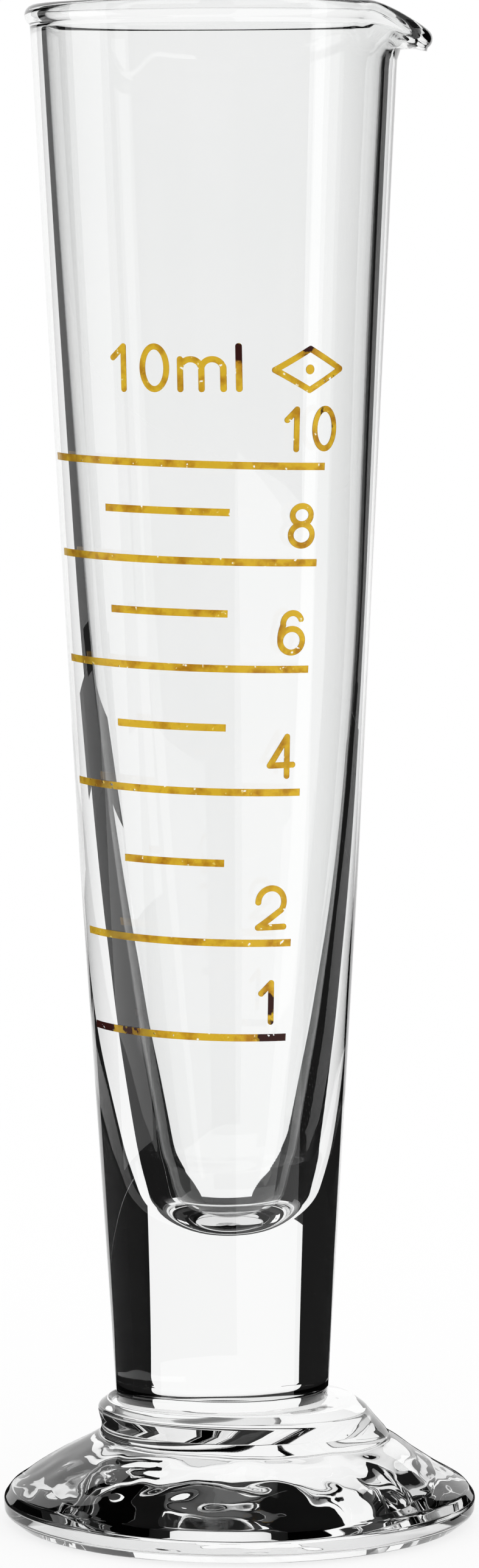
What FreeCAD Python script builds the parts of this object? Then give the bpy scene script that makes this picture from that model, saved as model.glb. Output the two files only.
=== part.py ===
import FreeCAD, Part
import math
import os
import re

import Sketcher
from FreeCAD import Placement, Rotation, Vector

# A small conical glass measure: a drawn glass cup on a solid tapered stem, a pressed glass foot
# that the stem is fused to, and fired amber marks on the outside of the cup.
# Millimetres. The origin is under the middle of the foot, +Z is up, the spout points to +X and
# the scale is read from the -Y side.

doc = FreeCAD.newDocument("conical_measure")
sizes = doc.addObject("Spreadsheet::Sheet", "sizes")

DRIVING = {
    # cup: heights are above the table, radii are from the cup's own axis
    "overall_height": 108.9,
    "cup_offset": -1.2,
    "cup_lean": 0.31,
    "stem_end_radius": 7.65,
    "joint_height": 8.9,
    "wall_middle_radius": 9.97,
    "wall_middle_height": 46.8,
    "wall_top_radius": 13.1,
    "bead_radius": 0.75,
    "bead_proud": 0.4,
    # bore: a ball-ended cone that opens more slowly above its shoulder and again higher up
    "floor_height": 20.8,
    "floor_radius": 3.4,
    "lower_bore_angle": 12.9,
    "shoulder_height": 39.2,
    "bore_middle_radius": 9.15,
    "bore_middle_height": 65.0,
    # spout: a small lip turned out and down from the rim
    "spout_reach": 2.45,
    "spout_nose": 5.5,
    "spout_bead": 0.8,
    "spout_tilt": 19.6,
    "spout_root": 3.7,
    "spout_depth": 2.45,
    "spout_skin": 1.2,
    # foot: a low cone with a rounded edge and a shallow hollow underneath
    "foot_radius": 17.05,
    "foot_base_inset": 0.85,
    "foot_edge_inset": 0.45,
    "foot_edge_height": 2.4,
    "foot_edge_round": 1.25,
    "flank_top_radius": 8.8,
    "flank_top_height": 7.3,
    "hollow_radius": 12.5,
    "hollow_depth": 0.6,
    # collar: the thick ring of glass where the stem was gathered onto the foot
    "collar_offset": -0.45,
    "collar_base_radius": 10.3,
    "collar_base_height": 6.0,
    "collar_radius": 9.75,
    "collar_crown": 1.0,
    "collar_top_radius": 8.7,
    "collar_round": 1.4,
    "collar_trim": 0.1,
    # print: fired marks, a hair clear of the glass so that no faces coincide
    "print_gap": 0.02,
    "print_thickness": 0.05,
    "line_height": 0.52,
    "line_tilt": 1.9,
    "long_line_left": 68.5,
    "long_line_left_step": 0.85,
    "long_line_right": 28.5,
    "long_line_right_step": 1.25,
    "short_line_left": 39.5,
    "short_line_left_step": 0.4,
    "short_line_right": 1.0,
    "short_line_right_step": 0.4,
    "glyph_stroke": 0.43,
    "numeral_height": 3.2,
    "numeral_width": 2.2,
    "numeral_lift": 0.8,
    "numeral_angle": 18.5,
    "numeral_angle_step": 1.65,
    "label_height": 3.4,
    "label_level": 81.7,
    "label_angle": -14.6,
    "sign_level": 83.2,
    "sign_angle": 33.6,
    "sign_width": 5.9,
    "sign_height": 3.3,
}
for row, (name, number) in enumerate(DRIVING.items(), start=1):
    sizes.set(f"A{row}", name)
    sizes.set(f"B{row}", str(number))
    sizes.setAlias(f"B{row}", name)
doc.recompute()


def size(formula):
    """The number that a formula of the sheet's words stands for."""
    return float(sizes.evalExpression(formula))


def bound(formula):
    """The same formula as a property's expression, which names the sheet."""
    return re.sub(r"[a-z_]+", lambda w: "sizes." + w[0] if w[0] in DRIVING else w[0], formula)


# ---------------------------------------------------------------- sketches and turned bodies


def place_corner(sketch, edge, end, across, up):
    """Hold one end of an edge at (across, up), two formulas; "0" holds it on the axis."""
    for kind, axis, formula in (("DistanceX", -2, across), ("DistanceY", -1, up)):
        if formula == "0":
            sketch.addConstraint(Sketcher.Constraint("PointOnObject", edge, end, axis))
        else:
            index = sketch.addConstraint(
                Sketcher.Constraint(kind, -1, 1, edge, end, size(formula))
            )
            sketch.setExpression(f"Constraints[{index}]", bound(formula))


def outline(sketch, corners, arcs):
    """Close an outline, anticlockwise, through corners that are pairs of formulas. arcs gives
    some edges a radius formula and a side: 1 swells out of the outline and -1 into it."""
    points = [Vector(size(across), size(up), 0) for across, up in corners]
    ends = []
    for i, start in enumerate(points):
        stop = points[(i + 1) % len(points)]
        if i not in arcs:
            edge = sketch.addGeometry(Part.LineSegment(start, stop), False)
            ends.append((edge, 1, 2))
            continue
        formula, side = arcs[i]
        radius = size(formula)
        along = stop - start
        inward = Vector(-along.y, along.x, 0).normalize() * side
        centre = (start + stop) / 2 + inward * math.sqrt(radius**2 - along.Length**2 / 4)
        first, last = (start, stop) if side > 0 else (stop, start)
        angles = [math.atan2(p.y - centre.y, p.x - centre.x) for p in (first, last)]
        if angles[1] < angles[0]:
            angles[1] += 2 * math.pi
        circle = Part.Circle(centre, Vector(0, 0, 1), radius)
        edge = sketch.addGeometry(Part.ArcOfCircle(circle, *angles), False)
        ends.append((edge, 1, 2) if side > 0 else (edge, 2, 1))
        index = sketch.addConstraint(Sketcher.Constraint("Radius", edge, radius))
        sketch.setExpression(f"Constraints[{index}]", bound(formula))
    for i, (edge, start_end, stop_end) in enumerate(ends):
        following, following_start, _ = ends[(i + 1) % len(ends)]
        sketch.addConstraint(
            Sketcher.Constraint("Coincident", edge, stop_end, following, following_start)
        )
        place_corner(sketch, edge, start_end, *corners[i])


def new_body(name):
    body = doc.addObject("PartDesign::Body", name)
    body.Label = name
    return body


def profile(body, name, corners, arcs, offset=None):
    """An outline on the body's XZ plane, whose own vertical axis may be moved and turned."""
    sketch = body.newObject("Sketcher::SketchObject", name)
    plane = [f for f in body.Origin.OriginFeatures if f.Role == "XZ_Plane"][0]
    sketch.AttachmentSupport = (plane, [""])
    sketch.MapMode = "FlatFace"
    for path, formula in (offset or {}).items():
        sketch.setExpression("AttachmentOffset." + path, bound(formula))
    outline(sketch, corners, arcs)
    return sketch


def turned(body, kind, sketch, angle=360):
    """Turn a profile about its sketch's vertical axis: kind is Revolution or Groove."""
    feature = body.newObject("PartDesign::" + kind, sketch.Name + "_turned")
    feature.Profile = sketch
    feature.ReferenceAxis = (sketch, ["V_Axis"])
    feature.Midplane = angle < 360
    feature.Angle = angle
    sketch.Visibility = False
    doc.recompute()
    return feature


def ride_with_cup(feature):
    """The cup leans a little and stands off the foot's centre; its marks go with it."""
    feature.Placement = Placement(Vector(size("cup_offset"), 0, 0), CUP_LEAN)
    feature.setExpression("Placement.Base.x", bound("cup_offset"))


CUP_LEAN = Rotation(Vector(0, 1, 0), -size("cup_lean"))

# ---------------------------------------------------------------- cup: bowl, rim bead, stem

BEAD_CENTRE = "(wall_top_radius + bead_proud - bead_radius)"
BEAD_HEIGHT = "(overall_height - bead_radius)"
BEAD_ROOT = f"({BEAD_HEIGHT} - sqrt(bead_radius^2 - (bead_radius - bead_proud)^2))"
BORE_TOP = f"({BEAD_CENTRE} - bead_radius)"
FLOOR_EDGE = "(floor_radius * cos(lower_bore_angle * 1 deg))"
FLOOR_EDGE_HEIGHT = "(floor_height + floor_radius * (1 - sin(lower_bore_angle * 1 deg)))"
SHOULDER = (
    f"({FLOOR_EDGE} + (shoulder_height - {FLOOR_EDGE_HEIGHT}) * tan(lower_bore_angle * 1 deg))"
)

cup = new_body("cup")
cup_blank = profile(
    cup,
    "cup_blank",
    [
        ("0", "joint_height"),
        ("stem_end_radius", "joint_height"),
        ("wall_middle_radius", "wall_middle_height"),
        ("wall_top_radius", BEAD_ROOT),
        (BEAD_CENTRE, "overall_height"),
        ("0", "overall_height"),
    ],
    {3: ("bead_radius", 1)},
)
turned(cup, "Revolution", cup_blank)

# The lip is turned about an axis that leans out over the rim, so it droops towards its nose.
SPOUT_AXIS = {
    "Base.x": "wall_top_radius + spout_reach - spout_bead - spout_nose * cos(spout_tilt * 1 deg)",
    "Base.y": "overall_height - bead_radius",
    "Rotation.Angle": "-spout_tilt",
}
LIP_BITE = "(spout_bead * cos(60 deg))"
LIP_DROP = "(spout_bead * sin(60 deg))"
LIP_TUCK = "(spout_root - spout_skin * 0.45)"
LIP_SWING = 136
spout_lip = profile(
    cup,
    "spout_lip",
    [
        ("spout_root", "-spout_depth"),
        (f"spout_nose + {LIP_BITE}", f"-{LIP_DROP}"),
        ("spout_nose + spout_bead", "0"),
        (f"spout_nose - {LIP_BITE}", LIP_DROP),
        (LIP_TUCK, "spout_skin - spout_depth"),
    ],
    {1: ("spout_bead", 1), 2: ("spout_bead", 1)},
    SPOUT_AXIS,
)
turned(cup, "Revolution", spout_lip, LIP_SWING)
bore = profile(
    cup,
    "bore",
    [
        ("0", "floor_height"),
        (FLOOR_EDGE, FLOOR_EDGE_HEIGHT),
        (SHOULDER, "shoulder_height"),
        ("bore_middle_radius", "bore_middle_height"),
        (BORE_TOP, BEAD_HEIGHT),
        (BEAD_CENTRE, "overall_height"),
        (BEAD_CENTRE, "overall_height + bead_radius"),
        ("0", "overall_height + bead_radius"),
    ],
    {0: ("floor_radius", 1), 4: ("bead_radius", -1)},
)
turned(cup, "Groove", bore)
CHANNEL_SWING = 150
spout_channel = profile(
    cup,
    "spout_channel",
    [
        ("0", "spout_skin - spout_depth"),
        (LIP_TUCK, "spout_skin - spout_depth"),
        (f"spout_nose - {LIP_BITE}", LIP_DROP),
        (f"spout_nose - {LIP_BITE}", "spout_nose"),
        ("0", "spout_nose"),
    ],
    {},
    SPOUT_AXIS,
)
turned(cup, "Groove", spout_channel, CHANNEL_SWING)
ride_with_cup(cup)

# ---------------------------------------------------------------- foot: low cone, edge, collar

foot_blank = new_body("foot_blank")
foot_cone = profile(
    foot_blank,
    "foot_cone",
    [
        ("0", "hollow_depth"),
        ("hollow_radius", "0"),
        ("foot_radius - foot_base_inset", "0"),
        ("foot_radius", "foot_edge_height / 2"),
        ("foot_radius - foot_edge_inset", "foot_edge_height"),
        ("flank_top_radius", "flank_top_height"),
        ("0", "flank_top_height"),
    ],
    {
        0: ("hollow_radius^2 / (2 * hollow_depth) + hollow_depth / 2", -1),
        2: ("foot_edge_round", 1),
        3: ("foot_edge_round", 1),
    },
)
turned(foot_blank, "Revolution", foot_cone)
COLLAR_TOP = "(joint_height + collar_trim)"
collar = profile(
    foot_blank,
    "collar",
    [
        ("0", "collar_base_height"),
        ("collar_base_radius", "collar_base_height"),
        ("collar_radius", "joint_height - collar_crown"),
        ("collar_top_radius", COLLAR_TOP),
        ("0", COLLAR_TOP),
    ],
    {2: ("collar_round", 1)},
    {"Base.x": "collar_offset"},
)
turned(foot_blank, "Revolution", collar)

# The joint face is square to the leaning cup, so that stem and foot meet face to face: the
# collar is made a little too high and trimmed down to it.
seat_trim = doc.addObject("Part::Cylinder", "seat_trim")
seat_trim.setExpression("Radius", bound("foot_radius"))
seat_trim.setExpression("Height", bound("joint_height"))
seat_trim.Placement = Placement(Vector(size("cup_offset"), 0, 0), CUP_LEAN) * Placement(
    Vector(0, 0, size("joint_height")), Rotation()
)
foot = doc.addObject("Part::Cut", "foot")
foot.Base = foot_blank
foot.Tool = seat_trim

# ---------------------------------------------------------------- graduations, true to the bore


def between(height, low, high):
    """The radius at a height on the straight side between two corners (radius, height)."""
    share = (height - low[1]) / (high[1] - low[1])
    return low[0] + share * (high[0] - low[0])


def corner(across, up):
    return size(across), size(up)


BORE = [
    corner(FLOOR_EDGE, FLOOR_EDGE_HEIGHT),
    corner(SHOULDER, "shoulder_height"),
    corner("bore_middle_radius", "bore_middle_height"),
    corner(BORE_TOP, BEAD_HEIGHT),
]
BALL_CENTRE = size("floor_height + floor_radius")
BALL_RADIUS = size("floor_radius")


def bore_radius_at(height):
    """Radius of the bore at a height above the table."""
    if height < BORE[0][1]:
        return math.sqrt(max(BALL_RADIUS**2 - (BALL_CENTRE - height) ** 2, 0.0))
    for low, high in zip(BORE, BORE[1:]):
        if height < high[1]:
            return between(height, low, high)
    raise ValueError("the bore holds less than the scale needs")


SLICE = 0.02
CUBIC_MM_PER_ML = 1000.0


def level_of(millilitres):
    """The height that this much liquid reaches in the cup."""
    height, held = size("floor_height"), 0.0
    while held < millilitres * CUBIC_MM_PER_ML:
        held += math.pi * bore_radius_at(height + SLICE / 2) ** 2 * SLICE
        height += SLICE
    return height


LEVELS = {ml: level_of(ml) for ml in range(1, 11)}

print_skin = new_body("print_skin")
skin_section = profile(
    print_skin,
    "skin_section",
    [
        ("stem_end_radius + print_gap", "joint_height"),
        ("stem_end_radius + print_gap + print_thickness", "joint_height"),
        ("wall_middle_radius + print_gap + print_thickness", "wall_middle_height"),
        ("wall_top_radius + print_gap + print_thickness", BEAD_ROOT),
        ("wall_top_radius + print_gap", BEAD_ROOT),
        ("wall_middle_radius + print_gap", "wall_middle_height"),
    ],
    {},
)
turned(print_skin, "Revolution", skin_section)


def printed(name, cutter):
    """The part of the printed skin that a cutter covers, as a piece of its own."""
    mark = doc.addObject("Part::Common", name)
    mark.Base = print_skin
    mark.Tool = cutter
    ride_with_cup(mark)
    return mark


def line_mark(ml):
    """A graduation line: a thin wedge of the skin, long at the ends and at each even mark."""
    length = "long_line" if ml % 2 == 0 or ml == 1 else "short_line"
    left = f"{length}_left + {length}_left_step * {ml}"
    right = f"{length}_right + {length}_right_step * {ml}"
    wedge = doc.addObject("Part::Cylinder", f"wedge_{ml}")
    wedge.setExpression("Radius", bound("foot_radius"))
    wedge.setExpression("Height", bound("line_height"))
    wedge.setExpression("Angle", bound(f"{left} + {right}"))
    turn = Rotation(Vector(0, 0, 1), -90 - size(left))
    tilt = Rotation(Vector(0, 1, 0), size("line_tilt"))
    middle = Placement(Vector(0, 0, -size("line_height") / 2), turn)
    wedge.Placement = Placement(Vector(0, 0, LEVELS[ml]), tilt) * middle
    return printed(f"line_{ml}_ml", wedge)


marks = [line_mark(ml) for ml in LEVELS]

# ---------------------------------------------------------------- numerals, label and sign


def stroke(*edges):
    """A band of the pen's width along edges that join end to end, with rounded ends."""
    band = Part.Wire([e.toShape() for e in edges])
    return Part.Face(band.makeOffset2D(size("glyph_stroke") / 2, 0, False, False, False))


def bar(x0, y0, x1, y1):
    return Part.LineSegment(Vector(x0, y0, 0), Vector(x1, y1, 0))


def pill(x, y0, y1):
    """One upright band by itself, with rounded ends."""
    half = size("glyph_stroke") / 2
    left, right, out = Vector(x - half, 0, 0), Vector(x + half, 0, 0), Vector(0, half, 0)
    low, high = Vector(0, y0, 0), Vector(0, y1, 0)
    edges = [
        Part.LineSegment(right + low, right + high),
        Part.Arc(right + high, Vector(x, 0, 0) + high + out, left + high),
        Part.LineSegment(left + high, left + low),
        Part.Arc(left + low, Vector(x, 0, 0) + low - out, right + low),
    ]
    return Part.Face(Part.Wire([e.toShape() for e in edges]))


def bow(x0, y0, x1, y1, x2, y2):
    return Part.Arc(Vector(x0, y0, 0), Vector(x1, y1, 0), Vector(x2, y2, 0))


def ring(wire):
    """A band of the pen's width along a wire that closes on itself."""
    half = size("glyph_stroke") / 2
    outer, inner = (
        Part.Face(wire.makeOffset2D(grow, 0, False, False, False)) for grow in (half, -half)
    )
    return outer.cut(inner)


def loop(x, y, wide, high):
    """An oval ring about (x, y), whose centreline is wide by high."""
    half = size("glyph_stroke") / 2
    ovals = []
    for grow in (half, -half):
        semis = (wide / 2 + grow, high / 2 + grow)
        oval = Part.Ellipse(Vector(x, y, 0), max(semis), min(semis))
        turn = Rotation(Vector(0, 0, 1), 90 if high > wide else 0)
        about = Placement(Vector(0, 0, 0), turn, Vector(x, y, 0))
        ovals.append(Part.Face(Part.Wire([oval.toShape()])).transformed(about.toMatrix()))
    return ovals[0].cut(ovals[1])


def one(w, tall):
    """A stem with a short flag."""
    return [stroke(bar(w, 0, w, tall), bar(w, tall, 0, tall * 0.74))]


def zero(w, tall):
    return [loop(w / 2, tall / 2, w, tall)]


def two(w, tall):
    """A round top that runs down into a flat base."""
    r = w / 2
    turn = math.radians(-38)
    foot_x, foot_y = r + r * math.cos(turn), tall - r + r * math.sin(turn)
    return [
        stroke(
            bow(0, tall - r, r, tall, foot_x, foot_y),
            bar(foot_x, foot_y, 0, 0),
            bar(0, 0, w, 0),
        )
    ]


def four(w, tall):
    post, rail = w * 0.74, tall * 0.28
    return [
        stroke(bar(post, tall, 0, rail), bar(0, rail, w, rail)),
        pill(post, 0, tall),
    ]


def six(w, tall):
    """A low bowl with a back that curls over it."""
    bowl = tall * 0.6
    return [
        loop(w / 2, bowl / 2, w, bowl),
        stroke(
            bow(w * 0.92, tall * 0.84, w * 0.58, tall, w * 0.12, tall * 0.7),
            bow(w * 0.12, tall * 0.7, w * 0.02, tall * 0.5, 0, bowl / 2),
        ),
    ]


def eight(w, tall):
    upper = tall * 0.46
    return [
        loop(w / 2, tall - upper / 2, w * 0.86, upper),
        loop(w / 2, (tall - upper) / 2, w, tall - upper),
    ]


def letter_m(w, tall):
    """Three legs under two shallow arches."""
    step, spring = w / 2, tall * 0.72
    return [
        stroke(
            bar(step * i, 0, step * i, spring),
            bow(step * i, spring, step * (i + 0.5), tall, step * (i + 1), spring),
            bar(step * (i + 1), spring, step * (i + 1), 0),
        )
        for i in range(2)
    ] + [pill(0, 0, tall)]


def letter_l(tall):
    return [pill(0, 0, tall)]


def lozenge(w, tall):
    """A plain diamond with a dot in it."""
    middle = Vector(w / 2, tall / 2, 0)
    frame = Part.makePolygon(
        [Vector(0, tall / 2, 0), Vector(w / 2, 0, 0), Vector(w, tall / 2, 0)]
        + [Vector(w / 2, tall, 0), Vector(0, tall / 2, 0)]
    )
    dot = Part.Circle(middle, Vector(0, 0, 1), size("glyph_stroke") * 0.8).toShape()
    return [ring(frame), Part.Face(Part.Wire([dot]))]


def moved(faces, across):
    return [f.translated(Vector(across, 0, 0)) for f in faces]


WALL = [
    corner("stem_end_radius", "joint_height"),
    corner("wall_middle_radius", "wall_middle_height"),
    corner("wall_top_radius", BEAD_ROOT),
]


def wall_radius_at(height):
    """Radius of the cup's outside at a height above the table."""
    return min(between(height, WALL[0], WALL[1]), between(height, WALL[1], WALL[2]))


GLYPH_DEPTH = 8.0


def glyph_mark(name, faces, angle, level):
    """Glyph faces, pressed straight into the skin at an angle round the cup and a base level."""
    strokes = [face.extrude(Vector(0, 0, GLYPH_DEPTH)) for face in faces]
    joined = strokes[0].multiFuse(strokes[1:]).removeSplitter() if strokes[1:] else strokes[0]
    block = doc.addObject("Part::Feature", name + "_block")
    block.Shape = joined
    upright = Rotation(Vector(0, 0, 1), angle) * Rotation(Vector(1, 0, 0), 90)
    standoff = wall_radius_at(level) - GLYPH_DEPTH / 2
    centred = Vector(-joined.BoundBox.Center.x, size("glyph_stroke") / 2, standoff)
    block.Placement = Placement(Vector(0, 0, level), upright) * Placement(centred, Rotation())
    return printed(name, block)


PEN = size("glyph_stroke")
TALL = size("numeral_height") - PEN
WIDE = size("numeral_width") - PEN
NARROW = WIDE * 0.42
NUMERALS = {
    1: one(NARROW, TALL),
    2: two(WIDE * 1.1, TALL),
    4: four(WIDE, TALL),
    6: six(WIDE, TALL),
    8: eight(WIDE, TALL),
    10: one(NARROW, TALL) + moved(zero(WIDE, TALL), NARROW + PEN * 3.5),
}
for ml, faces in NUMERALS.items():
    angle = size(f"numeral_angle + numeral_angle_step * {ml}")
    marks.append(glyph_mark(f"numeral_{ml}", faces, angle, LEVELS[ml] + size("numeral_lift")))

LABEL = size("label_height") - PEN
LABEL_ONE = LABEL * 0.28
LABEL_ZERO = LABEL * 0.6
LABEL_M = LABEL * 1.0
label = one(LABEL_ONE, LABEL)
pen_at = LABEL_ONE + PEN * 3.4
label += moved(zero(LABEL_ZERO, LABEL), pen_at)
pen_at += LABEL_ZERO + PEN * 2.3
label += moved(letter_m(LABEL_M, LABEL * 0.7), pen_at)
pen_at += LABEL_M + PEN * 2.4
label += moved(letter_l(LABEL), pen_at)
marks.append(glyph_mark("capacity_label", label, size("label_angle"), size("label_level")))
marks.append(
    glyph_mark(
        "plain_sign",
        lozenge(size("sign_width") - PEN, size("sign_height") - PEN),
        size("sign_angle"),
        size("sign_level - sign_height / 2"),
    )
)

# ---------------------------------------------------------------- checks and files

doc.recompute()
for thing in doc.Objects:
    if "Invalid" in thing.State or "Error" in thing.State:
        raise RuntimeError(f"{thing.Name} did not build: {thing.State}")
os.makedirs("parts", exist_ok=True)
pieces = [cup, foot] + marks
for piece in pieces:
    if piece.Shape.isNull() or not piece.Shape.isValid() or not piece.Shape.Solids:
        raise RuntimeError(f"{piece.Label} is not a good solid")
for piece in pieces:
    piece.Shape.exportStep(f"parts/{piece.Label}.step")
    print(piece.Label, len(piece.Shape.Solids), round(piece.Shape.Volume, 3))
print("levels", {ml: round(level, 2) for ml, level in LEVELS.items()})
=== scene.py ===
import math

import bpy
from mathutils import Matrix, Vector, noise


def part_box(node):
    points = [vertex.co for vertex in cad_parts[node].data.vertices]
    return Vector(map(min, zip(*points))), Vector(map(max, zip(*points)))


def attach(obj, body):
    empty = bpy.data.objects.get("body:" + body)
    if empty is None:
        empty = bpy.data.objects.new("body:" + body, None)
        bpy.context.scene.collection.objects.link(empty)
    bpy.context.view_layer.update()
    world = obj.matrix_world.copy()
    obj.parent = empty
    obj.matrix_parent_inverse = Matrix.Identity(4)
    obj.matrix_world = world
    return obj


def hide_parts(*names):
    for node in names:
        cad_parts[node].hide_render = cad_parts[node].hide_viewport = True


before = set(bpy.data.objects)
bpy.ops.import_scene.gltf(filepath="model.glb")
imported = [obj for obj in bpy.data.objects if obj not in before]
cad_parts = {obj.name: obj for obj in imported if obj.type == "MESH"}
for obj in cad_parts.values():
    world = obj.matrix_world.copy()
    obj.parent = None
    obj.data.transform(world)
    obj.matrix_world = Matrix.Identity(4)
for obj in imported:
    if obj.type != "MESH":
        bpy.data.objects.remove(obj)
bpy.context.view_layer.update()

# ---------------------------------------------------------------- camera
# A long lens at about arm's length, a little above the middle of the glass and looking slightly
# down, so that the rim shows as a flat oval and the foot as a wide one.

CAMERA_DISTANCE = 0.448
CAMERA_HEIGHT = 0.09304
CAMERA_PITCH = 5.0655
LENS = 143.94
FRAME_HEIGHT = 36.0
NEAR_CLIP = 0.01

camera_data = bpy.data.cameras.new("camera")
camera_data.sensor_fit = "VERTICAL"
camera_data.sensor_height = FRAME_HEIGHT
camera_data.lens = LENS
camera_data.clip_start = NEAR_CLIP
camera = bpy.data.objects.new("camera", camera_data)
camera.location = (0, -CAMERA_DISTANCE, CAMERA_HEIGHT)
camera.rotation_euler = (math.radians(90 - CAMERA_PITCH), 0, 0)
bpy.context.scene.collection.objects.link(camera)
bpy.context.scene.camera = camera
bpy.context.scene.view_settings.view_transform = "Standard"

# ---------------------------------------------------------------- cup
# The drawn glass cup: a solid tapered stem that opens into a conical bowl, a fire-polished bead
# round the rim and a small spout pulled out of it. It leans slightly on its foot.

MM = 0.001
AROUND = 288
OVERALL_HEIGHT = 108.9
CUP_OFFSET = -1.2
CUP_LEAN = 0.31
JOINT_HEIGHT = 8.9
STEM_END_RADIUS = 7.65
BEAD_RADIUS = 0.75
BEAD_CENTRE = Vector((12.75, OVERALL_HEIGHT - BEAD_RADIUS))
BEAD_CREASE = -58
STRAIGHT_TURN = 1e-4
SAME_PLACE = 1e-5
DEGREES_PER_PIECE = 5
FEWEST_PIECES = 3
MOST_OF_SIDE = 0.999
LEAN = Matrix.Translation((CUP_OFFSET, 0, 0)) @ Matrix.Rotation(math.radians(-CUP_LEAN), 4, "Y")


def smooth(low, high, value):
    """0 below low, 1 above high and an even ramp between them."""
    t = min(max((value - low) / (high - low), 0.0), 1.0)
    return t * t * (3 - 2 * t)


def rounded(corners, step):
    """Points no further apart than step along corners (radius, height, rounding)."""
    points = [Vector(corners[0][:2])]
    for before, here, after in zip(corners, corners[1:], corners[2:]):
        corner = Vector(here[:2])
        back, on = Vector(before[:2]) - corner, Vector(after[:2]) - corner
        turn = math.pi - back.angle(on)
        if here[2] == 0 or turn < STRAIGHT_TURN:
            points.append(corner)
            continue
        room = min(back.length * MOST_OF_SIDE, on.length * MOST_OF_SIDE)
        inset = min(here[2] * math.tan(turn / 2), room)
        start = corner + back.normalized() * inset
        stop = corner + on.normalized() * inset
        by_turn = math.ceil(math.degrees(turn) / DEGREES_PER_PIECE)
        pieces = max(FEWEST_PIECES, by_turn, math.ceil(2 * inset / step))
        for i in range(pieces + 1):
            t = i / pieces
            weights = ((1 - t) ** 2, 2 * t * (1 - t) * math.cos(turn / 2), t * t)
            total = sum(weights)
            points.append((weights[0] * start + weights[1] * corner + weights[2] * stop) / total)
    points.append(Vector(corners[-1][:2]))
    filled = [points[0]]
    for point in points[1:]:
        gap = (point - filled[-1]).length
        if gap < SAME_PLACE:
            continue
        cuts = math.ceil(gap / step)
        first = filled[-1]
        filled += [first.lerp(point, i / cuts) for i in range(1, cuts + 1)]
    return filled


def arc(centre, radius, start, stop, count):
    """Points along an arc, from one angle to another in degrees."""
    angles = [math.radians(start + (stop - start) * i / count) for i in range(count + 1)]
    return [centre + radius * Vector((math.cos(a), math.sin(a))) for a in angles]


def turned_skin(name, rings, place, materials, material_of_ring):
    """A closed skin of rings round an axis. place(ring, angle) gives a point in millimetres;
    the first and last ring lie on the axis and become one point each."""
    angles = [2 * math.pi * i / AROUND for i in range(AROUND)]
    verts = [place(rings[0], 0.0)]
    for ring in rings[1:-1]:
        verts += [place(ring, a) for a in angles]
    verts.append(place(rings[-1], 0.0))
    last = len(verts) - 1
    faces, kinds = [], []
    for i in range(AROUND):
        j = (i + 1) % AROUND
        faces.append((0, 1 + j, 1 + i))
        kinds.append(material_of_ring(0))
        for r in range(len(rings) - 3):
            low, high = 1 + r * AROUND, 1 + (r + 1) * AROUND
            faces.append((low + i, low + j, high + j, high + i))
            kinds.append(material_of_ring(r + 1))
        top = 1 + (len(rings) - 3) * AROUND
        faces.append((last, top + i, top + j))
        kinds.append(material_of_ring(len(rings) - 2))
    mesh = bpy.data.meshes.new(name)
    mesh.from_pydata([v * MM for v in verts], [], faces)
    for material in materials:
        mesh.materials.append(material)
    mesh.polygons.foreach_set("material_index", kinds)
    mesh.polygons.foreach_set("use_smooth", [True] * len(faces))
    mesh.update()
    piece = bpy.data.objects.new(name, mesh)
    bpy.context.scene.collection.objects.link(piece)
    return piece


SEAM_RISE = 0.28
SEAM_TURN = math.radians(62)
SEAM_WAVE = 0.1


def joint_level(angle):
    """The height of the fused seam, a little higher in front and lower at the left."""
    return JOINT_HEIGHT + SEAM_RISE * math.cos(angle + SEAM_TURN) + SEAM_WAVE * math.sin(2 * angle)


def joint_point(share, angle):
    """A point of the seam's own face, at a share of the stem's end radius."""
    radius = STEM_END_RADIUS * share
    height = JOINT_HEIGHT + (joint_level(angle) - JOINT_HEIGHT) * share**2
    return LEAN @ Vector((radius * math.cos(angle), radius * math.sin(angle), height))


JOINT_RINGS = [("joint", share) for share in (0, 0.35, 0.7, 0.9, 1.0)]

# The spout is a bulge of the rim: out by its reach and down by its droop, widest at +X. Each
# span gives the heights over which it comes in, outside and in the bore.
SPOUT_REACH = 2.0
SPOUT_DROOP = 1.8
SPOUT_HALF_WIDTH = math.radians(34)
OUTER_REACH_SPAN = (105.2, 107.3)
OUTER_DROOP_SPAN = (105.6, 107.4)
INNER_REACH_SPAN = (105.0, OVERALL_HEIGHT)
INNER_DROOP_SPAN = (105.2, OVERALL_HEIGHT)


def spout(angle):
    """How much of the spout there is at an angle, from 0 to 1."""
    away = abs((angle + math.pi) % (2 * math.pi) - math.pi)
    if away >= SPOUT_HALF_WIDTH:
        return 0.0
    return 0.5 * (1 + math.cos(math.pi * away / SPOUT_HALF_WIDTH))


OUTER_WALL = [
    (STEM_END_RADIUS, JOINT_HEIGHT, 0),
    (9.97, 46.8, 600),
    (BEAD_CENTRE.x + 0.35, BEAD_CENTRE.y - 0.95, 0),
]
BORE = [
    (BEAD_CENTRE.x - BEAD_RADIUS, BEAD_CENTRE.y, 0),
    (9.55, 62.5, 300),
    (8.15, 47.5, 240),
    (6.4, 35.2, 120),
    (5.0, 27.0, 16),
    (3.55, 21.2, 4.1),
    (0.0, 21.2, 0),
]
BORE_ASIDE = 0.42
BORE_ASIDE_FADE = (40, 100)
SEAM_FADE = 12
WALL_WAVE = 0.012
SKIN_STEP = 0.8
BEAD_PIECES = 30
cup_rings = list(JOINT_RINGS)
cup_rings += [("outer", p.x, p.y) for p in rounded(OUTER_WALL, SKIN_STEP)[1:]]
bead = arc(BEAD_CENTRE, BEAD_RADIUS, BEAD_CREASE, 180, BEAD_PIECES)
crest = max(range(len(bead)), key=lambda i: bead[i].y)
cup_rings += [("outer", p.x, p.y) for p in bead[: crest + 1]]
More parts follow.
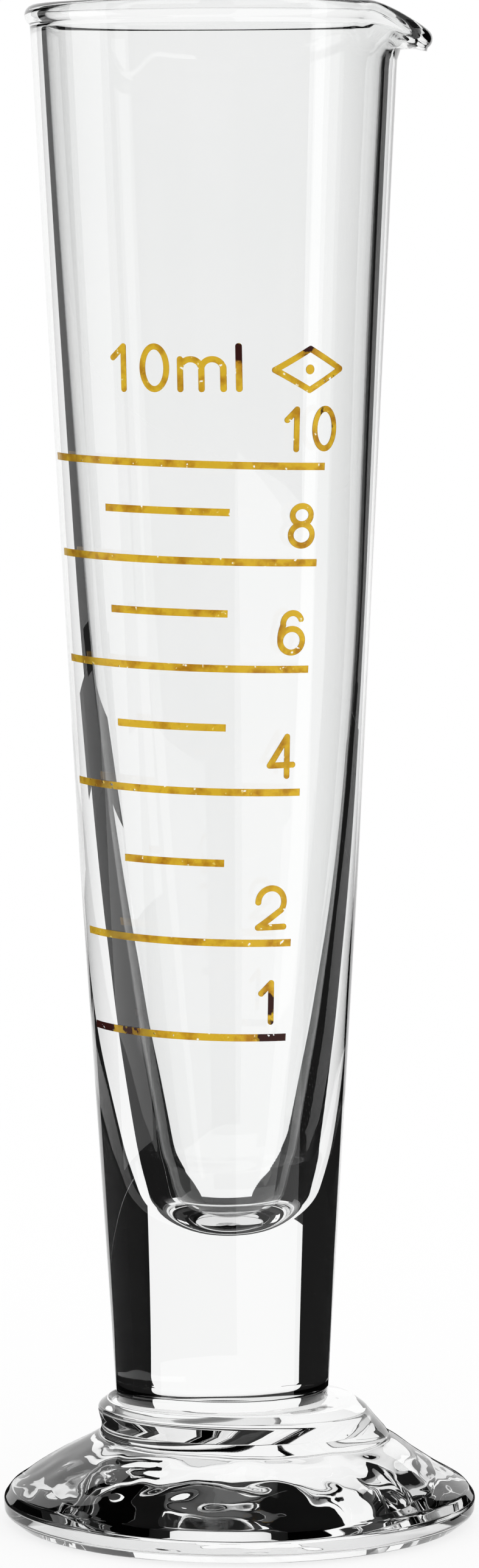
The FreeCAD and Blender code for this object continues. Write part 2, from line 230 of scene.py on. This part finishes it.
cup_rings += [("inner", p.x, p.y) for p in bead[crest + 1 :]]
cup_rings += [("inner", p.x, p.y) for p in rounded(BORE, SKIN_STEP)[1:]]


def cup_point(ring, angle):
    """A point of the cup's skin. The bore sits to one side low down, and the wall is wavy."""
    if ring[0] == "joint":
        return joint_point(ring[1], angle)
    side, radius, height = ring
    bulge = spout(angle)
    if side == "outer":
        out = smooth(*OUTER_REACH_SPAN, height)
        down = smooth(*OUTER_DROOP_SPAN, height)
        seam = joint_level(angle) - JOINT_HEIGHT
        height += seam * (1 - smooth(JOINT_HEIGHT, JOINT_HEIGHT + SEAM_FADE, height))
        radius -= WALL_WAVE * (1 + math.sin(3 * angle + height * 0.05) * math.sin(7 * angle))
    else:
        out = smooth(*INNER_REACH_SPAN, height)
        down = smooth(*INNER_DROOP_SPAN, height)
    radius += SPOUT_REACH * bulge * out
    height -= SPOUT_DROOP * bulge * down
    aside = BORE_ASIDE * (1 - smooth(*BORE_ASIDE_FADE, height)) if side == "inner" else 0.0
    return LEAN @ Vector((aside + radius * math.cos(angle), radius * math.sin(angle), height))


def noise_texture(tree, scale, detail):
    """A cloudy pattern, finer as its scale rises and rougher as its detail does."""
    node = tree.nodes.new("ShaderNodeTexNoise")
    node.inputs["Scale"].default_value = scale
    node.inputs["Detail"].default_value = detail
    return node


def map_range(tree, from_span, to_span):
    """A value carried from one span to another, held at its ends."""
    node = tree.nodes.new("ShaderNodeMapRange")
    node.inputs["From Min"].default_value, node.inputs["From Max"].default_value = from_span
    node.inputs["To Min"].default_value, node.inputs["To Max"].default_value = to_span
    return node


def colour_ramp(tree, *stops):
    """A colour that runs between two stops, each a position and a colour."""
    node = tree.nodes.new("ShaderNodeValToRGB")
    for element, (position, colour) in zip(node.color_ramp.elements, stops):
        element.position = position
        element.color = colour
    return node


GLASS_IOR = 1.5
GLASS_TINT = ((0.3, (0.985, 0.991, 0.988, 1)), (0.7, (0.998, 1.0, 0.999, 1)))
TINT_SCALE = 90.0
SMEAR_SCALE = 260.0
SMEAR_SPAN = (0.45, 0.8)
RIPPLE_DEPTH = 0.0002


def glass_material(name, ripple_scale, ripple, haze):
    """Clear soda-lime glass: faintly grey-green, with slow ripples and a little handling haze."""
    material = bpy.data.materials.new(name)
    material.use_nodes = True
    tree = material.node_tree
    shader = tree.nodes["Principled BSDF"]
    shader.inputs["Transmission Weight"].default_value = 1.0
    shader.inputs["IOR"].default_value = GLASS_IOR
    place = tree.nodes.new("ShaderNodeTexCoord")
    cloud = noise_texture(tree, TINT_SCALE, 3.0)
    tint = colour_ramp(tree, *GLASS_TINT)
    smear = noise_texture(tree, SMEAR_SCALE, 4.0)
    rough = map_range(tree, SMEAR_SPAN, (0.0, haze))
    waves = noise_texture(tree, ripple_scale, 1.0)
    bump = tree.nodes.new("ShaderNodeBump")
    bump.inputs["Strength"].default_value = ripple
    bump.inputs["Distance"].default_value = RIPPLE_DEPTH
    for source in (cloud, smear, waves):
        tree.links.new(place.outputs["Object"], source.inputs["Vector"])
    tree.links.new(cloud.outputs["Fac"], tint.inputs["Fac"])
    tree.links.new(tint.outputs["Color"], shader.inputs["Base Color"])
    tree.links.new(smear.outputs["Fac"], rough.inputs["Value"])
    tree.links.new(rough.outputs["Result"], shader.inputs["Roughness"])
    tree.links.new(waves.outputs["Fac"], bump.inputs["Height"])
    tree.links.new(bump.outputs["Normal"], shader.inputs["Normal"])
    return material


def fused_material():
    """The fused seam between stem and foot is one glass, so light crosses it unbent."""
    material = bpy.data.materials.new("fused_seam")
    material.use_nodes = True
    shader = material.node_tree.nodes["Principled BSDF"]
    shader.inputs["Base Color"].default_value = (1, 1, 1, 1)
    shader.inputs["Roughness"].default_value = 0.0
    shader.inputs["Transmission Weight"].default_value = 1.0
    shader.inputs["IOR"].default_value = 1.0
    return material


drawn_glass = glass_material("drawn_glass", ripple_scale=120.0, ripple=0.02, haze=0.03)
fused_seam = fused_material()
cup = turned_skin(
    "glass_cup",
    cup_rings,
    cup_point,
    [drawn_glass, fused_seam],
    lambda ring: 1 if ring < len(JOINT_RINGS) - 1 else 0,
)
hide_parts("cup")
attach(cup, "root")

# ---------------------------------------------------------------- foot
# The pressed glass foot: a low cone with a rounded double edge, a shallow hollow underneath, and
# a thick uneven collar where the stem was fused on. Its flank is rippled by the mould.

foot_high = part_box("foot")[1]
FOOT_RADIUS = foot_high.x / MM
HOLLOW_RADIUS = 12.5
HOLLOW_DEPTH = 0.6
HOLLOW_RINGS = 16
hollow = []
for i in range(HOLLOW_RINGS):
    share = i / HOLLOW_RINGS
    hollow.append((HOLLOW_RADIUS * share, HOLLOW_DEPTH * (1 - share**2), 0))
FOOT_OUTLINE = hollow + [
    (HOLLOW_RADIUS, 0.0, 2.0),
    (16.1, 0.0, 0.5),
    (FOOT_RADIUS - 0.05, 0.75, 0.5),
    (FOOT_RADIUS, 1.7, 0.6),
    (16.55, 2.42, 1.0),
    (10.5, 6.15, 0.6),
    (10.1, 7.0, 0.5),
    (9.75, 8.2, 0.8),
    (8.9, 8.85, 0.5),
    (8.1, 8.75, 0.4),
    (STEM_END_RADIUS, JOINT_HEIGHT, 0),
]
FOOT_STEP = 0.5
COLLAR_LEVEL = 7
COLLAR_GRIP = 9.4
COLLAR_RIGHT = 0.35
COLLAR_LEFT = 0.85
COLLAR_WANDER = 0.22
COLLAR_WAVE = 0.05
RIPPLE_PITCH = 0.21
BROAD_RIPPLE = 0.17
FINE_RIPPLE = 0.07
HOLLOW_RIPPLE = 0.09


def foot_point(ring, angle):
    """A point of the foot's skin: rippled on the flank and in the hollow, with a collar that
    wanders up and down and is held to the seam where it meets the stem."""
    if ring[0] == "joint":
        return joint_point(ring[1], angle)
    radius, height = ring
    grip = smooth(COLLAR_GRIP, STEM_END_RADIUS, radius) if height > COLLAR_LEVEL else 0.0
    shift = COLLAR_RIGHT * smooth(4.5, 6.3, height) - COLLAR_LEFT * smooth(6.3, 8.4, height)
    ripple = smooth(2.6, 3.4, height) * (1 - smooth(5.6, 6.6, height))
    here = Vector((math.cos(angle) * radius, math.sin(angle) * radius, 2.0)) * RIPPLE_PITCH
    swell = ripple * (BROAD_RIPPLE * noise.noise(here) + FINE_RIPPLE * noise.noise(here * 2.6))
    under = smooth(0.15, 0.3, height) * (1 - smooth(0.6, 0.7, height)) * (1 - smooth(9, 11.5, radius))
    swell += under * HOLLOW_RIPPLE * noise.noise(here * 1.9)
    turning = COLLAR_WANDER * math.sin(-angle - 0.5) + COLLAR_WAVE * math.sin(3 * angle)
    level = height + swell + smooth(5.0, 6.5, height) * turning
    free = Vector((shift + radius * math.cos(angle), radius * math.sin(angle), level))
    if grip == 0.0:
        return free
    held = joint_point(radius / STEM_END_RADIUS, angle)
    held.z = held.z + (height - JOINT_HEIGHT)
    return free.lerp(held, grip)


foot_rings = [(p.x, p.y) for p in rounded(FOOT_OUTLINE, FOOT_STEP)[:-1]]
foot_rings += JOINT_RINGS[::-1]
pressed_glass = glass_material("pressed_glass", ripple_scale=240.0, ripple=0.06, haze=0.05)
foot = turned_skin(
    "glass_foot",
    foot_rings,
    foot_point,
    [pressed_glass, fused_seam],
    lambda ring: 1 if ring >= len(foot_rings) - len(JOINT_RINGS) else 0,
)
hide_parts("foot")
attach(foot, "root")

# ---------------------------------------------------------------- scale, numerals and signs
# Amber enamel, screened on and fired into the outside of the cup. It lets light through, is
# ragged at its edges and turns dark brown where it was laid on thickly.

# Spots where the enamel lies thick, as (x, y, z, radius) in millimetres.
THICK_SPOTS = [
    (6.75, -8.9, 79.2, 1.0),
    (6.0, -9.5, 80.5, 0.8),
    (5.0, -10.4, 84.8, 1.1),
    (0.0, -11.9, 84.4, 1.2),
    (-8.6, -8.8, 84.5, 1.0),
    (2.2, -8.9, 38.6, 1.2),
    (-9.4, -4.3, 36.4, 2.6),
    (-7.2, -6.6, 36.3, 1.6),
    (2.3, -8.6, 36.2, 1.9),
]
ENAMEL_IOR = 1.3
ENAMEL_ROUGHNESS = 0.22
ENAMEL_COLOURS = ((0.32, (0.60, 0.27, 0.01, 1)), (0.55, (0.93, 0.60, 0.035, 1)))
BURNT_COLOUR = (0.035, 0.006, 0.004, 1)
BURNT_SPAN = (0.86, 0.98)
THIN_TRANSMISSION = 0.72
PINHOLE_SPAN = (0.27, 0.32)
CLOUD_SCALE = 900.0
RAGGED_SCALE = 1500.0
PINHOLE_SCALE = 2600.0
UNIT_SPAN = (0.0, 1.0)


def enamel_material(name):
    """Amber enamel: thick where a spot is near, and bare at its pinholes."""
    material = bpy.data.materials.new(name)
    material.use_nodes = True
    tree = material.node_tree
    shader = tree.nodes["Principled BSDF"]
    shader.inputs["IOR"].default_value = ENAMEL_IOR
    shader.inputs["Roughness"].default_value = ENAMEL_ROUGHNESS
    place = tree.nodes.new("ShaderNodeTexCoord")
    cloud = noise_texture(tree, CLOUD_SCALE, 4.0)
    ramp = colour_ramp(tree, *ENAMEL_COLOURS)
    tree.links.new(place.outputs["Object"], cloud.inputs["Vector"])
    tree.links.new(cloud.outputs["Fac"], ramp.inputs["Fac"])
    thickest = None
    for x, y, z, radius in THICK_SPOTS:
        away = tree.nodes.new("ShaderNodeVectorMath")
        away.operation = "DISTANCE"
        away.inputs[1].default_value = (x * MM, y * MM, z * MM)
        near = map_range(tree, (radius * MM, 0.0), UNIT_SPAN)
        tree.links.new(place.outputs["Object"], away.inputs[0])
        tree.links.new(away.outputs["Value"], near.inputs["Value"])
        if thickest is None:
            thickest = near.outputs["Result"]
            continue
        more = tree.nodes.new("ShaderNodeMath")
        more.operation = "MAXIMUM"
        tree.links.new(thickest, more.inputs[0])
        tree.links.new(near.outputs["Result"], more.inputs[1])
        thickest = more.outputs[0]
    ragged = noise_texture(tree, RAGGED_SCALE, 2.0)
    total = tree.nodes.new("ShaderNodeMath")
    total.operation = "ADD"
    patch = map_range(tree, BURNT_SPAN, UNIT_SPAN)
    tree.links.new(place.outputs["Object"], ragged.inputs["Vector"])
    tree.links.new(thickest, total.inputs[0])
    tree.links.new(ragged.outputs["Fac"], total.inputs[1])
    tree.links.new(total.outputs[0], patch.inputs["Value"])
    colour = tree.nodes.new("ShaderNodeMix")
    colour.data_type = "RGBA"
    colour.inputs["B"].default_value = BURNT_COLOUR
    tree.links.new(patch.outputs["Result"], colour.inputs["Factor"])
    tree.links.new(ramp.outputs["Color"], colour.inputs["A"])
    tree.links.new(colour.outputs["Result"], shader.inputs["Base Color"])
    clear = map_range(tree, UNIT_SPAN, (THIN_TRANSMISSION, 0.0))
    tree.links.new(patch.outputs["Result"], clear.inputs["Value"])
    tree.links.new(clear.outputs["Result"], shader.inputs["Transmission Weight"])
    holes = noise_texture(tree, PINHOLE_SCALE, 1.0)
    bare = map_range(tree, PINHOLE_SPAN, UNIT_SPAN)
    tree.links.new(place.outputs["Object"], holes.inputs["Vector"])
    tree.links.new(holes.outputs["Fac"], bare.inputs["Value"])
    tree.links.new(bare.outputs["Result"], shader.inputs["Alpha"])
    return material


amber_enamel = enamel_material("amber_enamel")
for name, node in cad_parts.items():
    if name not in ("cup", "foot"):
        node.data.materials.clear()
        node.data.materials.append(amber_enamel)

# ---------------------------------------------------------------- studio
# A white room seen through the glass. Black and charcoal cards stand round it and mats lie on the
# pale floor. The camera doesn't see them, but the glass does, and they draw its dark bands. The two
# charcoal mats under and behind the foot are a painted shadow, put in for the foot's contact shadow.

ROOM_STRENGTH = 0.8
WINDOW_STRENGTH = 1.0
world = bpy.data.worlds.new("studio")
bpy.context.scene.world = world
world.use_nodes = True
tree = world.node_tree
background = tree.nodes["Background"]
path = tree.nodes.new("ShaderNodeLightPath")
seen = tree.nodes.new("ShaderNodeMath")
seen.operation = "MAXIMUM"
seen_too = tree.nodes.new("ShaderNodeMath")
seen_too.operation = "MAXIMUM"
level = map_range(tree, UNIT_SPAN, (ROOM_STRENGTH, WINDOW_STRENGTH))
tree.links.new(path.outputs["Is Camera Ray"], seen.inputs[0])
tree.links.new(path.outputs["Is Glossy Ray"], seen.inputs[1])
tree.links.new(seen.outputs[0], seen_too.inputs[0])
tree.links.new(path.outputs["Is Transmission Ray"], seen_too.inputs[1])
tree.links.new(seen_too.outputs[0], level.inputs["Value"])
tree.links.new(level.outputs["Result"], background.inputs["Strength"])
background.inputs["Color"].default_value = (1, 1, 1, 1)


def paper(name, colour):
    """A matt card without any sheen."""
    material = bpy.data.materials.new(name)
    material.use_nodes = True
    shader = material.node_tree.nodes["Principled BSDF"]
    shader.inputs["Base Color"].default_value = (*colour, 1)
    shader.inputs["Roughness"].default_value = 0.9
    shader.inputs["Specular IOR Level"].default_value = 0.0
    return material


def hidden_card(name, verts, faces, material):
    """A card that only the glass sees: no shadow, no bounced light, and not in front of the camera."""
    mesh = bpy.data.meshes.new(name)
    mesh.from_pydata(verts, [], faces)
    mesh.materials.append(material)
    card = bpy.data.objects.new(name, mesh)
    bpy.context.scene.collection.objects.link(card)
    card.visible_camera = False
    card.visible_shadow = False
    card.visible_diffuse = False


CARD_PIECES = 24


def strip(base):
    """The faces between two rows of points that start at number base."""
    faces = []
    for i in range(base, base + 2 * CARD_PIECES, 2):
        faces.append((i, i + 1, i + 3, i + 2))
    return faces


def sector(name, inner, outer, low, high, start, stop, material):
    """A card bent round the object, upright from low to high or flat from inner to outer."""
    verts = []
    for i in range(CARD_PIECES + 1):
        a = math.radians(start + (stop - start) * i / CARD_PIECES)
        verts.append((inner * math.cos(a), inner * math.sin(a), low))
        verts.append((outer * math.cos(a), outer * math.sin(a), high))
    hidden_card(name, verts, strip(0), material)


black_card = paper("black_card", (0.012, 0.012, 0.012))
charcoal_card = paper("charcoal_card", (0.04, 0.04, 0.04))
grey_card = paper("grey_card", (0.1, 0.1, 0.1))
CARD_RADIUS = 0.35
CARD_TOP = 0.6
WINDOW_TOP = 0.17
FLOOR_LEVEL = -0.00005
MAT_LEVEL = -0.00003

# Each upright card as its first and last angle in degrees and the height of its lower edge.
CARDS = {
    "right": (-13, 62, 0.0),
    "left": (125, 165, 0.0),
    "front": (196, 283, 0.0),
    "front_right": (283, 335, 0.03),
    "above_left": (165, 196, WINDOW_TOP),
    "above_right": (335, 347, WINDOW_TOP),
}
for name, (start, stop, low) in CARDS.items():
    sector("card_" + name, CARD_RADIUS, CARD_RADIUS, low, CARD_TOP, start, stop, black_card)

# Close to the object the right mat reaches further round, so there it is cut into rings.
MAT_RINGS = 40
MAT_RING_WIDTH = 0.002
MAT_START = -13
MAT_STOP = 64
MAT_REACH = 20
sector("mat_right", 0.1, CARD_RADIUS, MAT_LEVEL, MAT_LEVEL, MAT_START, MAT_STOP, black_card)
for k in range(MAT_RINGS):
    radius = 0.02 + MAT_RING_WIDTH * k
    edge = MAT_STOP + MAT_REACH * (1 - smooth(0.03, 0.1, radius))
    outer = radius + MAT_RING_WIDTH
    sector(f"mat_right_{k}", radius, outer, MAT_LEVEL, MAT_LEVEL, MAT_START, edge, black_card)

# The other flat mats, as inner and outer radius, first and last angle, and paper.
MATS = {
    "front": (0.05, CARD_RADIUS, 205, 283, black_card),
    "left_near": (0.03, 0.12, 167, 205, black_card),
    # Painted shadow: these two dark mats under and behind the foot stand in for its contact shadow.
    "painted_shadow_under_foot": (0.002, 0.0125, 40, 145, charcoal_card),
    "painted_shadow_behind_foot": (0.0172, 0.032, 40, 145, charcoal_card),
}
for name, (inner, outer, start, stop, material) in MATS.items():
    sector("mat_" + name, inner, outer, MAT_LEVEL, MAT_LEVEL, start, stop, material)
sector("ceiling", 0.0, CARD_RADIUS, CARD_TOP, CARD_TOP, 0, 360, grey_card)

RIB_PITCH = 0.001
RIB_COVER = 1.3
RUN_SCALE = 8.6
EDGE_ON = math.radians(25)
FULL_LEAN = 1 / math.tan(EDGE_ON)
LEAN_SPAN = (0.045, 0.1)
NEAR_SWING = 11
SWING_SPAN = (0.03, 0.075)


def ribs(name, first, last, start, stop, material):
    """A ribbed mat on the floor, which hides the floor only from low angles. Near the object its
    ribs stand upright; further out their tops lean in, edge-on to light falling at 25 degrees."""
    verts, faces = [], []
    for k in range(round((last - first) / RIB_PITCH)):
        radius = first + k * RIB_PITCH
        run = RUN_SCALE * math.sqrt(radius)
        away = FULL_LEAN * smooth(*LEAN_SPAN, radius)
        height = RIB_COVER * RIB_PITCH / (run - away)
        foot_of_rib = radius + away * height
        first_angle = start - NEAR_SWING * (1 - smooth(*SWING_SPAN, radius))
        faces += strip(len(verts))
        for i in range(CARD_PIECES + 1):
            a = math.radians(first_angle + (stop - first_angle) * i / CARD_PIECES)
            verts.append((foot_of_rib * math.cos(a), foot_of_rib * math.sin(a), FLOOR_LEVEL))
            verts.append((radius * math.cos(a), radius * math.sin(a), height))
    hidden_card(name, verts, faces, material)


ribs("mat_left", 0.022, CARD_RADIUS, 121, 167, black_card)
ribs("mat_left_soft", 0.25, CARD_RADIUS, 113, 121, charcoal_card)

FLOOR_REACH = 2
FLOOR_ALBEDO = 0.3
FLOOR_GLOW = 0.76
corners = ((-1, -1), (1, -1), (1, 1), (-1, 1))
floor_mesh = bpy.data.meshes.new("floor")
floor_verts = [(x * FLOOR_REACH, y * FLOOR_REACH, FLOOR_LEVEL) for x, y in corners]
floor_mesh.from_pydata(floor_verts, [], [(0, 1, 2, 3)])
floor = bpy.data.objects.new("floor", floor_mesh)
bpy.context.scene.collection.objects.link(floor)
floor_material = bpy.data.materials.new("floor")
floor_material.use_nodes = True
tree = floor_material.node_tree
shader = tree.nodes["Principled BSDF"]
shader.inputs["Base Color"].default_value = (FLOOR_ALBEDO, FLOOR_ALBEDO, FLOOR_ALBEDO, 1)
shader.inputs["Roughness"].default_value = 1.0
shader.inputs["Specular IOR Level"].default_value = 0.0
shader.inputs["Emission Color"].default_value = (1, 1, 1, 1)
shader.inputs["Emission Strength"].default_value = FLOOR_GLOW
floor_mesh.materials.append(floor_material)
